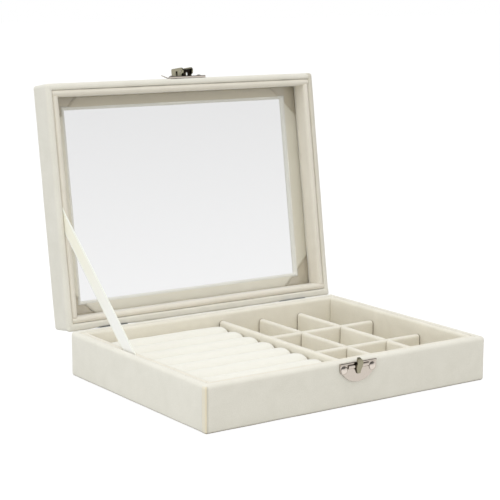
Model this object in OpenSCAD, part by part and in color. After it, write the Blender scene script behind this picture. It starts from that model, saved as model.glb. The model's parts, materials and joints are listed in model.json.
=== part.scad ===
// Ring display box: a velvet-covered board box with ring rolls, small compartments and a window lid.
// The model stands open, as it is shown on a counter: the lid leans back on its ribbon stay.
// Origin: centre of the underside. +X right, +Y back, +Z up. Millimetres.

/* [Box] */
// Outside width, left to right
box_w = 200; // [160:1:240]
// Outside depth, front to back
box_d = 150; // [130:1:180]
// Height of the base
base_h = 27; // [25:0.5:34]
// Depth of the lid, rim to outer face
lid_h = 18; // [16:0.5:24]
// How far the lid opens, in degrees
open_angle = 98.4; // [90:0.1:105]
// Gap between the two rims when the lid is shut
rim_gap = 0.4; // [0.2:0.1:1]

/* [Board and velvet] */
// Thickness of the greyboard
board_t = 2.4; // [1.6:0.1:3]
// Thickness of the velvet on its backing
velvet_t = 0.8; // [0.5:0.1:1]
// Rounding of the outer rim edges
rim_r = 2.5; // [1.5:0.1:3]
// Rounding of the outer rim edges at the hinges, where base and lid meet
back_rim_r = 1; // [0.8:0.1:2.5]
// Rounding of the inner rim edge of the wrap
rim_inner_r = 1; // [0.5:0.1:1.4]
// Rounding of the edges away from the rim
foot_r = 1.6; // [1:0.1:2.5]
// Rounding of the upright corners
corner_r = 2; // [1:0.1:3]
// Width of the wrap glued under the base
turn_under = 14; // [8:1:30]

/* [Liner] */
// Thickness of the liner strips
liner_t = 3.5; // [2.5:0.1:4.5]
// Groove between the walls and the liner
groove = 0.5; // [0.4:0.1:0.8]
// How far the liner stops below the rim
liner_drop = 0.2; // [0:0.1:1]
// Thickness of the velvet-covered floor card
floor_t = 2; // [1.2:0.1:3]

/* [Compartments] */
// Thickness of the dividers
divider_t = 4; // [3:0.1:5]
// Place of the main divider, right of the middle
main_x = 4.5; // [-10:0.5:20]
// Drop of the main divider below the rim
main_drop = 5; // [3:0.5:10]
// Drop of the small dividers below the rim
small_drop = 7.8; // [5:0.1:12]
// Distance between the two column dividers
column_pitch = 30.9; // [24:0.1:36]
// Place of the first column divider, right of the main divider
column_first = 31; // [24:0.1:36]
// Rounding of the dividers' top edges
divider_r = 1.5; // [0.8:0.1:1.5]
// Clearance of each divider at its ends and half-laps
lap_gap = 0.15; // [0.1:0.05:0.3]

/* [Ring rolls] */
// Number of ring rolls
roll_count = 8; // [6:1:10]
// Gap between neighbouring rolls
roll_gap = 0.35; // [0.2:0.05:1]
// Drop of the rolls' tops below the rim
roll_drop = 6.5; // [4:0.5:9]
// Gap between the rolls' ends and the main divider
roll_end_gap = 1; // [0.5:0.1:4]
// Rounding of the rolls' ends
roll_end_r = 3; // [1:0.1:4]

/* [Lid window] */
// Width of the frame beside the window
frame_side = 18; // [12:0.5:40]
// Width of the frame above and below the window
frame_ends = 16; // [12:0.5:30]
// Thickness of the glass
glass_t = 2; // [1.5:0.1:3]

/* [Ribbon stay] */
// Width of the ribbon
ribbon_w = 10; // [10:0.5:16]
// Thickness of the ribbon
ribbon_t = 0.3; // [0.2:0.05:0.35]
// Where the ribbon leaves the base, behind the middle
ribbon_y = 12.5; // [-10:0.5:30]
// Where the ribbon enters the lid, up from its hinge edge
ribbon_v = 66; // [50:0.5:80]
// Length of ribbon held in each groove
ribbon_tail = 14; // [10:0.5:18]

/* [Hinges] */
// Distance of each hinge's middle from the side of the box
hinge_in = 31.5; // [20:0.5:45]
// Length of a hinge
hinge_w = 20; // [16:0.5:26]
// Height of one hinge leaf
leaf_h = 10; // [8:0.5:12]
// Thickness of a hinge leaf
leaf_t = 0.5; // [0.4:0.05:0.8]
// Radius of the hinge pin
hinge_pin_r = 0.45; // [0.35:0.05:0.5]
// Wall of the knuckles round the pin
knuckle_wall = 0.4; // [0.35:0.05:0.5]
// Distance of the hinge axis behind the back faces
axis_back = 1.02; // [1:0.01:2]
// Distance of the hinge axis below the lid's rim when shut
axis_drop = 1.765; // [1.2:0.005:2.4]
// Gap between knuckles
knuckle_gap = 0.3; // [0.2:0.05:0.5]
// Clearance round every turning pin
pin_gap = 0.05; // [0.02:0.01:0.08]

/* [Latch] */
// Place of the latch, right of the middle
latch_x = 2; // [-5:0.5:5]
// Thickness of the latch plates
plate_t = 0.8; // [0.6:0.1:1]
// Radius of the fan-shaped edge
fan_r = 14.2; // [12.6:0.1:18]
// Reach of the fan from the rim side of a plate
fan_reach = 11.6; // [10:0.1:12.4]
// Half the distance between the lobes
lobe_x = 10.1; // [9.5:0.1:12]
// Radius of the lobes
lobe_r = 2.8; // [2.5:0.1:3.2]
// Distance of the lobes' middles from the rim side of a plate
lobe_drop = 3.9; // [3.6:0.1:5]
// Radius of the rolled edge along the rim side of a plate
bead_r = 0.55; // [0.4:0.05:0.7]
// Width of the ridge pressed across the catch plate
ridge_w = 2.6; // [2:0.1:3]
// Height of the ridge
ridge_h = 0.8; // [0.4:0.1:1]
// Radius of the domed nail heads on the lobes
dome_r = 2.3; // [1.8:0.1:2.4]
// Height of the domed nail heads
dome_h = 1.1; // [0.8:0.1:1.6]
// Distance of both plates from the rim
plate_drop = 1.2; // [0.6:0.1:1.4]
// Width of the tongue
tongue_w = 8; // [7:0.5:9]
// Length of the tongue past its pin
tongue_len = 11.3; // [9:0.1:12]
// Height of the tongue's folded sides
tongue_h = 5.8; // [5.4:0.1:6.2]
// Sheet thickness of the tongue and the hook
sheet_t = 0.8; // [0.6:0.1:0.9]
// Height of the latch pin above the lid's wall
latch_pin_up = 4.6; // [4.4:0.1:4.9]
// Distance of the latch pin from the lid's rim
latch_pin_in = 3.7; // [3.4:0.1:5]
// Radius of the latch pin
latch_pin_r = 0.5; // [0.4:0.05:0.6]
// Greatest width of the catch hook
hook_w = 4.6; // [3:0.1:5]
// Width of the hook's foot
hook_foot_w = 1.8; // [1.2:0.1:3]
// Width of the hook's tip
hook_tip_w = 1.6; // [0.4:0.1:2]
// Distance of the hook's foot below the rim
hook_foot = 8; // [7:0.1:9]
// Distance of the hook's bulge below the rim
hook_mid = 2; // [1.8:0.1:3]
// Height of the hook's tip above the rim
hook_tip = 1.4; // [0.5:0.1:1.6]
// How far the hook stands out from the wall
hook_out = 3.2; // [2.8:0.1:3.6]
// Radius of the hook's outer bend
hook_bend_r = 7; // [7:0.1:12]
// Angle by which the hook leans to the left
hook_lean = 5; // [0:1:8]
// Length of the tab that stands up at the left end of the latch plate
tab_len = 5; // [3:0.5:6]
// Angle at which the tab stands up
tab_lift = 26; // [10:1:35]
// Angle of the tab away from the rim
tab_skew = 20; // [0:5:40]

/* [Hidden] */
$fn = 48;
far = 400;
bite = 0.5;
// Flat left between the two roundings of a liner's top
liner_flat = 0.05;

// Walls and inner spaces
wall_t = board_t + 2 * velvet_t;
inner_x = box_w / 2 - wall_t;
inner_y = box_d / 2 - wall_t;
liner_x = inner_x - groove - liner_t;
liner_y = inner_y - groove - liner_t;
liner_r = liner_t / 2 - liner_flat;
card_z = velvet_t + board_t;
floor_z = card_z + floor_t;
liner_top = base_h - liner_drop;

// Lid, drawn shut and then opened about the hinge axis
lid_z = base_h + rim_gap;
axis_y = box_d / 2 + axis_back;
axis_z = lid_z - axis_drop;
panel_t = board_t + 2 * velvet_t;
panel_z = lid_h - panel_t;
lid_liner_h = panel_z - glass_t - liner_drop;
window_w = box_w - 2 * frame_side;
window_d = box_d - 2 * frame_ends;
flap_side = frame_side - wall_t - velvet_t - lap_gap;
flap_ends = frame_ends - wall_t - velvet_t - lap_gap;

// Compartments
column_xs = [main_x + column_first, main_x + column_first + column_pitch];
row_ys = [-liner_y / 3 - divider_t / 6, liner_y / 3 + divider_t / 6];
main_top = base_h - main_drop;
small_top = base_h - small_drop;
right_span = liner_x - main_x - divider_t / 2;
lap_z = (floor_z + small_top) / 2;
lap_w = divider_t + 2 * lap_gap;

// Ring rolls
roll_pitch = 2 * liner_y / roll_count;
roll_r = (roll_pitch - roll_gap) / 2;
roll_top = base_h - roll_drop;
roll_x0 = -liner_x + roll_gap;
roll_x1 = main_x - divider_t / 2 - roll_end_gap;

// Ribbon stay: [y, z] where it leaves the base's rim and where it enters the lid's
ribbon_x = -inner_x + groove / 2;
ribbon_low = [ribbon_y, base_h];
ribbon_arm = [box_d / 2 - ribbon_v - axis_y, lid_z - axis_z];
ribbon_high = [axis_y + ribbon_arm[0] * cos(open_angle) + ribbon_arm[1] * sin(open_angle),
               axis_z + ribbon_arm[1] * cos(open_angle) - ribbon_arm[0] * sin(open_angle)];
ribbon_run = ribbon_high - ribbon_low;
ribbon_slope = atan2(ribbon_run[1], ribbon_run[0]);

// Hinges
hinge_x = box_w / 2 - hinge_in;
knuckle_r = hinge_pin_r + knuckle_wall;
lid_knuckle_w = hinge_w / 3;

// Latch, with heights up from the wall it is nailed to
nail_r = 0.45;
nail_len = 3;
nail_head_r = 1.1;
nail_head_h = 0.6;
nail_taper = 0.6;
dome_gap = 0.25;
ear_wall = 0.6;
ear_r = latch_pin_r + ear_wall;
ear_gap = 0.3;
ear_w = 1.9;
pin_end = 0.3;
tongue_lift = 0.2;
side_x = tongue_w / 2 - sheet_t;
bar_r = 0.4;
bar_in = 1.6;
bar_cover = 0.2;
slot_w = 2.4;
slot_h = 3.1;
slot_from_pin = 5;
side_round = 1;
hook_foot_len = 1.6;
hook_shoulder = 1.2;

// ---- shared shapes ----

// Rounding of an edge after a skin is taken off it
function skinned(r, skin) = max(r - skin, 0.1);

// Bar of size w by h, centred on x and hanging down from y = 0. Its top corners are rounded by
// top_r, or the right one by right_r, and its low corners by low_r
module round_bar(w, h, top_r, low_r, right_r = undef) {
  tops = [top_r, is_undef(right_r) ? top_r : right_r];
  translate([-w / 2 + tops[0], -h + low_r]) square([w - tops[0] - tops[1], h - low_r]);
  translate([-w / 2 + low_r, -h]) square([w - 2 * low_r, low_r + bite]);
  for (i = [0, 1]) {
    s = 2 * i - 1;
    translate([i * (w / 2 - tops[1] - bite) - (1 - i) * w / 2, -h + low_r])
      square([tops[i] + bite, h - low_r - tops[i]]);
    translate([s * (w / 2 - tops[i]), -tops[i]]) circle(r = tops[i]);
    translate([s * (w / 2 - low_r), -h + low_r]) circle(r = low_r);
  }
}

module round_square(w, d, r) {
  square([w - 2 * r, d], center = true);
  square([w, d - 2 * r], center = true);
  for (x = [-1, 1], y = [-1, 1]) translate([x * (w / 2 - r), y * (d / 2 - r)]) circle(r = r);
}

// Outside of a tray whose rim is at z = 0 and whose body hangs below it, moved in by skin
module tray_form(h, skin) {
  w = box_w - 2 * skin;
  d = box_d - 2 * skin;
  intersection() {
    rotate([90, 0, 0]) translate([0, -skin, -far / 2])
      linear_extrude(far) round_bar(w, h - 2 * skin, skinned(rim_r, skin), skinned(foot_r, skin));
    rotate([90, 0, 90]) translate([0, -skin, -far / 2])
      linear_extrude(far) round_bar(d, h - 2 * skin, skinned(rim_r, skin), skinned(foot_r, skin),
                                    skinned(back_rim_r, skin));
    translate([0, 0, -far / 2]) linear_extrude(far) round_square(w, d, skinned(corner_r, skin));
  }
}

// One wall of a tray with its inner rim edge rounded, along X at the front
module wall_bar(w, d, h) {
  translate([0, -d / 2 + wall_t, 0]) rotate([90, 0, 90]) translate([0, 0, -w / 2]) linear_extrude(w) {
    translate([-wall_t, -h]) square([wall_t, h - rim_inner_r]);
    translate([-wall_t, -rim_inner_r - bite]) square([wall_t - rim_inner_r, rim_inner_r + bite]);
    translate([-rim_inner_r, -rim_inner_r]) circle(r = rim_inner_r);
  }
}

// The four walls of a tray with wrap and board as one mass
module tray_walls(h) {
  for (a = [0, 180]) rotate(a) wall_bar(box_w, box_d, h);
  for (a = [90, 270]) rotate(a) wall_bar(box_d, box_w, h);
}

// Wall boards of a tray: front and back run full width, the sides stand between them
module front_wall_board(h, side) {
  intersection() {
    tray_form(h, velvet_t);
    translate([-far / 2, side < 0 ? -box_d / 2 : box_d / 2 - velvet_t - board_t, -h + card_z])
      cube([far, velvet_t + board_t, h]);
  }
}

module side_wall_board(h, side) {
  intersection() {
    tray_form(h, velvet_t);
    translate([side < 0 ? -box_w / 2 : box_w / 2 - velvet_t - board_t,
               -box_d / 2 + velvet_t + board_t, -h + card_z])
      cube([velvet_t + board_t, box_d - 2 * (velvet_t + board_t), h]);
  }
}

// Board across the far side of a tray
module far_board(h) {
  intersection() {
    tray_form(h, velvet_t);
    translate([-far / 2, -far / 2, -h]) cube([far, far, card_z]);
  }
}

module all_boards(h) {
  for (s = [-1, 1]) {
    front_wall_board(h, s);
    side_wall_board(h, s);
  }
  far_board(h);
}

// Liner strip along X with a full-round top edge at z = 0, on y from 0 to liner_t
module liner_strip(len, h) {
  rotate([90, 0, 90]) translate([liner_t / 2, 0, -len / 2]) linear_extrude(len)
    round_bar(liner_t, h, liner_r, 0.2);
}

module liner_front(h) {
  translate([0, -liner_y - liner_t, 0]) liner_strip(2 * (inner_x - groove), h);
}

module liner_side(h) {
  rotate(90) translate([0, -liner_x - liner_t, 0]) liner_strip(2 * liner_y, h);
}

// Flips a tray drawn rim up into the shut lid, rim down
module as_lid() {
  translate([0, 0, lid_z]) mirror([0, 0, 1]) children();
}

// Turns the shut lid about the hinge axis to where it stands open
module opened() {
  translate([0, axis_y, axis_z]) rotate([-open_angle, 0, 0]) translate([0, -axis_y, -axis_z]) children();
}

// ---- base ----

module at_rim() {
  translate([0, 0, base_h]) children();
}

module bottom_board() color("tan") at_rim() far_board(base_h);
module front_board() color("tan") at_rim() front_wall_board(base_h, -1);
module back_board() color("tan") at_rim() front_wall_board(base_h, 1);
module left_board() color("tan") at_rim() side_wall_board(base_h, -1);
module right_board() color("tan") at_rim() side_wall_board(base_h, 1);

module base_wrap() color("linen") at_rim() difference() {
  intersection() {
    tray_form(base_h, 0);
    union() {
      tray_walls(base_h);
      translate([-box_w / 2, -box_d / 2, -base_h]) cube([box_w, box_d, velvet_t + board_t]);
    }
  }
  all_boards(base_h);
  translate([0, 0, -base_h - bite])
    linear_extrude(velvet_t + bite) square([box_w - 2 * turn_under, box_d - 2 * turn_under], center = true);
}

module underside_cover() color("gainsboro")
  linear_extrude(velvet_t)
    square([box_w - 2 * turn_under - 2 * lap_gap, box_d - 2 * turn_under - 2 * lap_gap], center = true);

module floor_card() color("antiquewhite")
  translate([-inner_x + lap_gap, -inner_y + lap_gap, card_z])
    cube([2 * (inner_x - lap_gap), 2 * (inner_y - lap_gap), floor_t]);

module base_liner_front() color("linen")
  translate([0, 0, liner_top]) liner_front(liner_top - floor_z);
module base_liner_back() color("linen") rotate(180) base_liner_front();
module base_liner_left() color("linen")
  translate([0, 0, liner_top]) rotate(180) liner_side(liner_top - floor_z);
module base_liner_right() color("linen") rotate(180) base_liner_left();

// ---- dividers ----

// Divider along X from x = 0, with soft top edges
module divider(len, top) {
  translate([0, 0, top]) rotate([90, 0, 90]) linear_extrude(len)
    round_bar(divider_t, top - floor_z, divider_r, 0.2);
}

module main_divider() color("linen")
  translate([main_x, -liner_y + lap_gap, 0]) rotate(90) divider(2 * (liner_y - lap_gap), main_top);

// In the half-lap joints the columns are cut from below and the rows from above
module column_divider(i) color("linen") difference() {
  translate([column_xs[i], -liner_y + lap_gap, 0]) rotate(90)
    divider(2 * (liner_y - lap_gap), small_top);
  for (y = row_ys)
    translate([column_xs[i] - far / 2, y - lap_w / 2, floor_z - bite])
      cube([far, lap_w, lap_z - floor_z + bite]);
}

module row_divider(i) color("linen") difference() {
  translate([main_x + divider_t / 2 + lap_gap, row_ys[i], 0]) divider(right_span - 2 * lap_gap, small_top);
  for (x = column_xs)
    translate([x - lap_w / 2, row_ys[i] - far / 2, lap_z - lap_gap / 2]) cube([lap_w, far, far]);
}

// ---- ring rolls: soft round pads, flat underneath where they are glued down ----

// Half section of a roll of length len, which stands along y, with soft ends
module roll_half(len) {
  end_r = min(roll_end_r, roll_r / 2);
  square([roll_r - end_r, len]);
  translate([0, end_r]) square([roll_r, len - 2 * end_r]);
  for (y = [end_r, len - end_r]) translate([roll_r - end_r, y]) circle(r = end_r);
}

module ring_roll(i) color("floralwhite") intersection() {
  translate([roll_x0, -liner_y + roll_pitch * (i - 0.5), roll_top - roll_r]) rotate([0, 90, 0])
    rotate_extrude() roll_half(roll_x1 - roll_x0);
  translate([-far / 2, -far / 2, floor_z]) cube(far);
}

// ---- ribbon stay, held in the left grooves ----

module ribbon_stay() color("ivory")
  translate([ribbon_x - ribbon_t / 2, ribbon_low[0], ribbon_low[1]]) rotate([ribbon_slope, 0, 0])
    translate([0, -ribbon_tail, -ribbon_w / 2])
      cube([ribbon_t, norm(ribbon_run) + 2 * ribbon_tail, ribbon_w]);

// ---- hinges, left and right by side = -1 and 1 ----

// Leaf of a hinge hanging down from the axis, on the outside of a back face
module hinge_leaf(side, outer) {
  half = lid_knuckle_w / 2;
  spans = outer
    ? [[-hinge_w / 2, -half - knuckle_gap], [half + knuckle_gap, hinge_w / 2]]
    : [[-half, half]];
  bore = outer ? hinge_pin_r : hinge_pin_r + pin_gap;
  translate([side * hinge_x, axis_y, axis_z]) difference() {
    union() {
      translate([-hinge_w / 2, -axis_back, -leaf_h - knuckle_r])
        cube([hinge_w, leaf_t, leaf_h - knuckle_gap]);
      for (s = spans) {
        translate([s[0], -axis_back, -knuckle_r - bite]) cube([s[1] - s[0], leaf_t, knuckle_r + bite]);
        translate([s[0], 0, 0]) rotate([0, 90, 0]) cylinder(r = knuckle_r, h = s[1] - s[0]);
      }
    }
    translate([-hinge_w, 0, 0]) rotate([0, 90, 0]) cylinder(r = bore, h = 2 * hinge_w);
    for (x = [-1, 1]) translate([x * hinge_w / 3, 0, -knuckle_r - leaf_h / 2 - leaf_t])
      rotate([90, 0, 0]) translate([0, 0, -far / 2]) cylinder(r = nail_r, h = far);
  }
}

module hinge_pin(side) color("silver")
  translate([side * hinge_x - hinge_w / 2, axis_y, axis_z]) rotate([0, 90, 0])
    cylinder(r = hinge_pin_r, h = hinge_w);

// Two nails through each leaf, into the back wall
module leaf_nails() {
  nail_z = axis_z - knuckle_r - leaf_h / 2 - leaf_t;
  for (side = [-1, 1], x = [-1, 1])
    translate([side * hinge_x + x * hinge_w / 3, axis_y - axis_back, nail_z])
      rotate([90, 0, 0]) nail(leaf_t);
}

// Nail driven along +Z through a sheet of thickness t whose top is at z = -t
module nail(t) {
  translate([0, 0, -t]) cylinder(r = nail_r, h = t + nail_len);
  translate([0, 0, -t - nail_head_h])
    cylinder(r1 = nail_head_r * nail_taper, r2 = nail_head_r, h = nail_head_h);
}

// Nail driven the same way, with a domed head that stands a little clear of the sheet on its neck
module dome_nail(t) {
  ball_r = (dome_r * dome_r + dome_h * dome_h) / (2 * dome_h);
  translate([0, 0, -t - dome_gap]) cylinder(r = nail_r, h = t + dome_gap + nail_len);
  translate([0, 0, -t - dome_gap]) cylinder(r = nail_head_r, h = dome_gap);
  translate([0, 0, -t - dome_gap]) intersection() {
    translate([0, 0, ball_r - dome_h]) sphere(r = ball_r);
    translate([-far / 2, -far / 2, -far]) cube(far);
  }
}

// The lid's leaf is the base's leaf turned up, when the lid is shut
module turned_up() {
  translate([0, 0, axis_z]) mirror([0, 0, 1]) translate([0, 0, -axis_z]) children();
}

module hinge_leaf_base(side) color("silver") hinge_leaf(side, true);
module hinge_leaf_lid(side) color("silver") opened() turned_up() hinge_leaf(side, false);
module hinge_nails_base() color("silver") leaf_nails();
module hinge_nails_lid() color("silver") opened() turned_up() leaf_nails();

// ---- lid ----

module on_lid() {
  opened() as_lid() children();
}

module window_hole(skin) {
  translate([0, 0, -lid_h - bite]) linear_extrude(panel_t + bite)
    square([window_w + 2 * skin, window_d + 2 * skin], center = true);
}

module lid_window_board() color("tan") on_lid() difference() {
  far_board(lid_h);
  window_hole(velvet_t);
}

module lid_front_board() color("tan") on_lid() front_wall_board(lid_h, -1);
module lid_back_board() color("tan") on_lid() front_wall_board(lid_h, 1);
module lid_left_board() color("tan") on_lid() side_wall_board(lid_h, -1);
module lid_right_board() color("tan") on_lid() side_wall_board(lid_h, 1);

// One side of the window's fold, along X at y = 0: velvet round the edge of the panel's board
module fold_bar(len) {
  rotate([90, 0, 90]) translate([0, -lid_h + velvet_t, -len / 2]) linear_extrude(len) {
    for (y = [0, board_t]) translate([0, y]) circle(r = velvet_t);
    translate([-velvet_t, 0]) square([2 * velvet_t, board_t]);
  }
}

// The fold all round the window, up to the edge of the board
module window_fold() {
  w = window_w + 2 * velvet_t;
  d = window_d + 2 * velvet_t;
  intersection() {
    translate([0, 0, -lid_h]) linear_extrude(panel_t) square([w, d], center = true);
    union() {
      for (s = [-1, 1]) {
        translate([0, s * d / 2, 0]) fold_bar(w);
        translate([s * w / 2, 0, 0]) rotate(90) fold_bar(d);
      }
    }
  }
}

// The wrap covers the walls and the outer face, and turns through the window to the inner face
module lid_wrap() color("linen") on_lid() {
  difference() {
    intersection() {
      tray_form(lid_h, 0);
      union() {
        tray_walls(lid_h);
        translate([-box_w / 2, -box_d / 2, -lid_h]) cube([box_w, box_d, velvet_t]);
      }
    }
    all_boards(lid_h);
    window_hole(velvet_t);
  }
  window_fold();
}

// Flap of velvet turned in along one side of the window, with its ends cut at 45 degrees
module flap(len, from, reach) {
  translate([0, 0, -panel_z - velvet_t]) linear_extrude(velvet_t)
    polygon([[-len / 2, from], [len / 2, from],
             [len / 2 - reach, from + reach], [-len / 2 + reach, from + reach]]);
}

module window_flaps() color("linen") on_lid() {
  for (a = [0, 180]) rotate(a) flap(window_w, window_d / 2 + velvet_t, flap_ends);
  for (a = [90, 270]) rotate(a) flap(window_d, window_w / 2 + velvet_t, flap_side);
}

module glass_pane() color("lightcyan", 0.35) on_lid()
  translate([0, 0, -panel_z]) linear_extrude(glass_t)
    square([2 * (inner_x - groove), 2 * (inner_y - groove)], center = true);

module lid_liner_front() color("linen")
  on_lid() translate([0, 0, -liner_drop]) liner_front(lid_liner_h);
module lid_liner_back() color("linen")
  on_lid() translate([0, 0, -liner_drop]) rotate(180) liner_front(lid_liner_h);
module lid_liner_left() color("linen")
  on_lid() translate([0, 0, -liner_drop]) rotate(180) liner_side(lid_liner_h);
module lid_liner_right() color("linen")
  on_lid() translate([0, 0, -liner_drop]) liner_side(lid_liner_h);

// ---- latch ----

// Outline of both latch plates: a fan and two lobes below a straight rim edge along y = 0
module plate_outline() {
  fan_half = lobe_x + lobe_r / 2;
  intersection() {
    translate([0, fan_r - fan_reach]) circle(r = fan_r);
    translate([-fan_half, -fan_reach]) square([2 * fan_half, fan_reach]);
  }
  for (s = [-1, 1]) {
    translate([s * lobe_x, -lobe_drop]) circle(r = lobe_r);
    translate([s * lobe_x - lobe_r, -lobe_drop]) square([2 * lobe_r, lobe_drop]);
  }
}

// Rod along X of radius r and length len, which rounds the face of a plate
module plate_rod(y, z, r, len) {
  translate([-len / 2, y, z]) rotate([0, 90, 0]) cylinder(r = r, h = len);
}

// Plate lying in the XY plane, with a rolled rim edge and a nail hole in each lobe
module lobed_plate() {
  difference() {
    union() {
      linear_extrude(plate_t) plate_outline();
      plate_rod(-bead_r, plate_t, bead_r, 2 * (lobe_x + lobe_r));
    }
    for (s = [-1, 1]) translate([s * lobe_x, -lobe_drop, -bite]) cylinder(r = nail_r, h = far);
  }
}

// Ridge pressed across the catch plate between its lobes
module plate_ridge() {
  half = ridge_w / 2;
  ridge_r = (half * half + ridge_h * ridge_h) / (2 * ridge_h);
  intersection() {
    plate_rod(-2 * bead_r - half, plate_t + ridge_h - ridge_r, ridge_r, 2 * (lobe_x - lobe_r));
    translate([-far / 2, -far / 2, 0]) cube(far);
  }
}

// Nails of a plate, through its lobes and into the wall under it
module plate_nails() {
  for (s = [-1, 1]) translate([s * lobe_x, -lobe_drop, 0]) mirror([0, 0, 1]) dome_nail(plate_t);
}

// Puts what lies in XY with z out of the wall on the front of the base, rim edge up
module on_base_front() {
  translate([latch_x, -box_d / 2, base_h - plate_drop]) rotate([90, 0, 0]) children();
}

// The same on the front of the lid, rim edge down
module on_lid_front() {
  opened() translate([latch_x, -box_d / 2, lid_z + plate_drop]) mirror([0, 0, 1]) rotate([90, 0, 0])
    children();
}

module catch_plate() color("silver") on_base_front() {
  lobed_plate();
  plate_ridge();
}
module catch_nails() color("gainsboro") on_base_front() plate_nails();

// Side view of the hook, a bent strip: x is height from the rim, y is distance from the wall
module hook_profile() {
  bend_y = hook_out - hook_bend_r;
  translate([-hook_foot, plate_t]) square([hook_foot_len, sheet_t]);
  polygon([[-hook_foot + sheet_t, plate_t], [-hook_foot + hook_foot_len, plate_t],
           [-hook_mid, hook_out - sheet_t], [-hook_mid, hook_out],
           [-hook_foot + sheet_t, plate_t + sheet_t]]);
  translate([-hook_mid, bend_y]) intersection() {
    difference() {
      circle(r = hook_bend_r);
      circle(r = hook_bend_r - sheet_t);
    }
    square([hook_mid + hook_tip, hook_bend_r]);
  }
}

// Front view of the hook: widest at its bulge, and narrow at its foot and its tip
module hook_outline() {
  half = hook_w / 2;
  polygon([[-hook_foot_w / 2, -hook_foot - bite], [hook_foot_w / 2, -hook_foot - bite],
           [half, -hook_mid - hook_shoulder], [half, -hook_mid + hook_shoulder],
           [hook_tip_w / 2, hook_tip], [-hook_tip_w / 2, hook_tip],
           [-half, -hook_mid + hook_shoulder], [-half, -hook_mid - hook_shoulder]]);
}

module catch_hook() color("silver") translate([latch_x, -box_d / 2, base_h]) intersection() {
  translate([-hook_w / 2, 0, 0]) mirror([0, 1, 0]) rotate([90, 0, 90]) linear_extrude(hook_w)
    mirror([1, -1, 0]) hook_profile();
  rotate([90, 0, 0]) translate([0, 0, -far / 2]) linear_extrude(far)
    translate([0, -hook_foot]) rotate(hook_lean) translate([0, hook_foot]) hook_outline();
}

// Upright tab of the lid plate that carries the barrel, with y up from the rim and z out of the wall
module latch_ear(x0) {
  translate([x0, latch_pin_in - plate_drop - sheet_t / 2, plate_t / 2])
    cube([ear_w, sheet_t, latch_pin_up - plate_t / 2]);
}

// Small tapered tab that stands up from the left lobe of the lid plate
module sprung_tab() {
  root_w = plate_t * 1.5;
  tip_w = root_w / 3;
  out = lobe_r - plate_t / 2;
  translate([-lobe_x, -lobe_drop, plate_t * 0.15]) rotate(180 + tab_skew) translate([out, 0, 0])
    rotate([0, -tab_lift, 0]) linear_extrude(plate_t * 0.6)
      polygon([[0, -root_w], [tab_len, -tip_w], [tab_len, tip_w], [0, root_w]]);
}

// Lid plate with a barrel on two tabs, in which the latch pin turns
module latch_plate() color("silver") on_lid_front() {
  pin_y = plate_drop - latch_pin_in;
  sprung_tab();
  difference() {
    union() {
      lobed_plate();
      plate_rod(pin_y, latch_pin_up, ear_r, 2 * (side_x - ear_gap));
      mirror([0, 1, 0]) for (x0 = [-side_x + ear_gap, side_x - ear_gap - ear_w]) latch_ear(x0);
    }
    plate_rod(pin_y, latch_pin_up, latch_pin_r + pin_gap, far);
  }
}

module latch_nails() color("gainsboro") on_lid_front() plate_nails();

// Folded tongue, lying back on the plate: a web, two sides with a slot each, an end and a catch bar
module tongue_side(x0) {
  low = plate_t + tongue_lift;
  pin_y = latch_pin_in - plate_drop;
  translate([x0, 0, 0]) rotate([90, 0, 90]) linear_extrude(sheet_t) difference() {
    union() {
      translate([pin_y, latch_pin_up]) circle(r = low + tongue_h - latch_pin_up);
      translate([pin_y, low]) square([tongue_len - side_round, tongue_h]);
      translate([pin_y, low]) square([tongue_len, tongue_h - side_round]);
      translate([pin_y + tongue_len - side_round, low + tongue_h - side_round]) circle(r = side_round);
    }
    translate([pin_y, latch_pin_up]) circle(r = latch_pin_r);
    translate([pin_y + slot_from_pin - slot_w / 2, low + sheet_t]) square([slot_w, slot_h]);
  }
}

module latch_tongue() color("gainsboro") on_lid_front() mirror([0, 1, 0]) {
  low = plate_t + tongue_lift;
  pin_y = latch_pin_in - plate_drop;
  for (x0 = [-tongue_w / 2, side_x]) tongue_side(x0);
  translate([-tongue_w / 2, pin_y + ear_r + ear_gap, low])
    cube([tongue_w, tongue_len - ear_r - ear_gap, sheet_t]);
  translate([-tongue_w / 2, pin_y + tongue_len - sheet_t, low])
    cube([tongue_w, sheet_t, tongue_h - side_round]);
  plate_rod(pin_y + tongue_len - bar_in, low + tongue_h - bar_r - bar_cover, bar_r, 2 * side_x);
}

module latch_pin() color("silver") on_lid_front()
  plate_rod(plate_drop - latch_pin_in, latch_pin_up, latch_pin_r, tongue_w + 2 * pin_end);

// ---- what each node draws ----

bottom_board();
front_board();
back_board();
left_board();
right_board();
base_wrap();
underside_cover();
floor_card();
base_liner_front();
base_liner_back();
base_liner_left();
base_liner_right();
main_divider();
column_divider(0);  // column_divider_1
column_divider(1);  // column_divider_2
row_divider(0);  // row_divider_front
row_divider(1);  // row_divider_back
for (i = [1:roll_count]) ring_roll(i);
ribbon_stay();
catch_plate();
catch_hook();
catch_nails();
hinge_leaf_base(-1);  // hinge_leaf_base_left
hinge_leaf_base(1);  // hinge_leaf_base_right
hinge_pin(-1);  // hinge_pin_left
hinge_pin(1);  // hinge_pin_right
hinge_nails_base();
lid_window_board();
lid_front_board();
lid_back_board();
lid_left_board();
lid_right_board();
lid_wrap();
window_flaps();
glass_pane();
lid_liner_front();
lid_liner_back();
lid_liner_left();
lid_liner_right();
hinge_leaf_lid(-1);  // hinge_leaf_lid_left
hinge_leaf_lid(1);  // hinge_leaf_lid_right
hinge_nails_lid();
latch_plate();
latch_nails();
latch_tongue();
latch_pin();
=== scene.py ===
"""Looks of a velvet-covered ring display box, made round its packed construction model.

The base stands on the table, and the lid leans back on a ribbon stay. Lengths are in metres.
The sections follow the box as it is put together: the base, what stands in it, the lid with its
window and its ribbon, the hinges and the latch. The table, the lamps and the camera come last.
"""

import json
import math

import bmesh
import bpy
from mathutils import Matrix, Vector, noise


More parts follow.
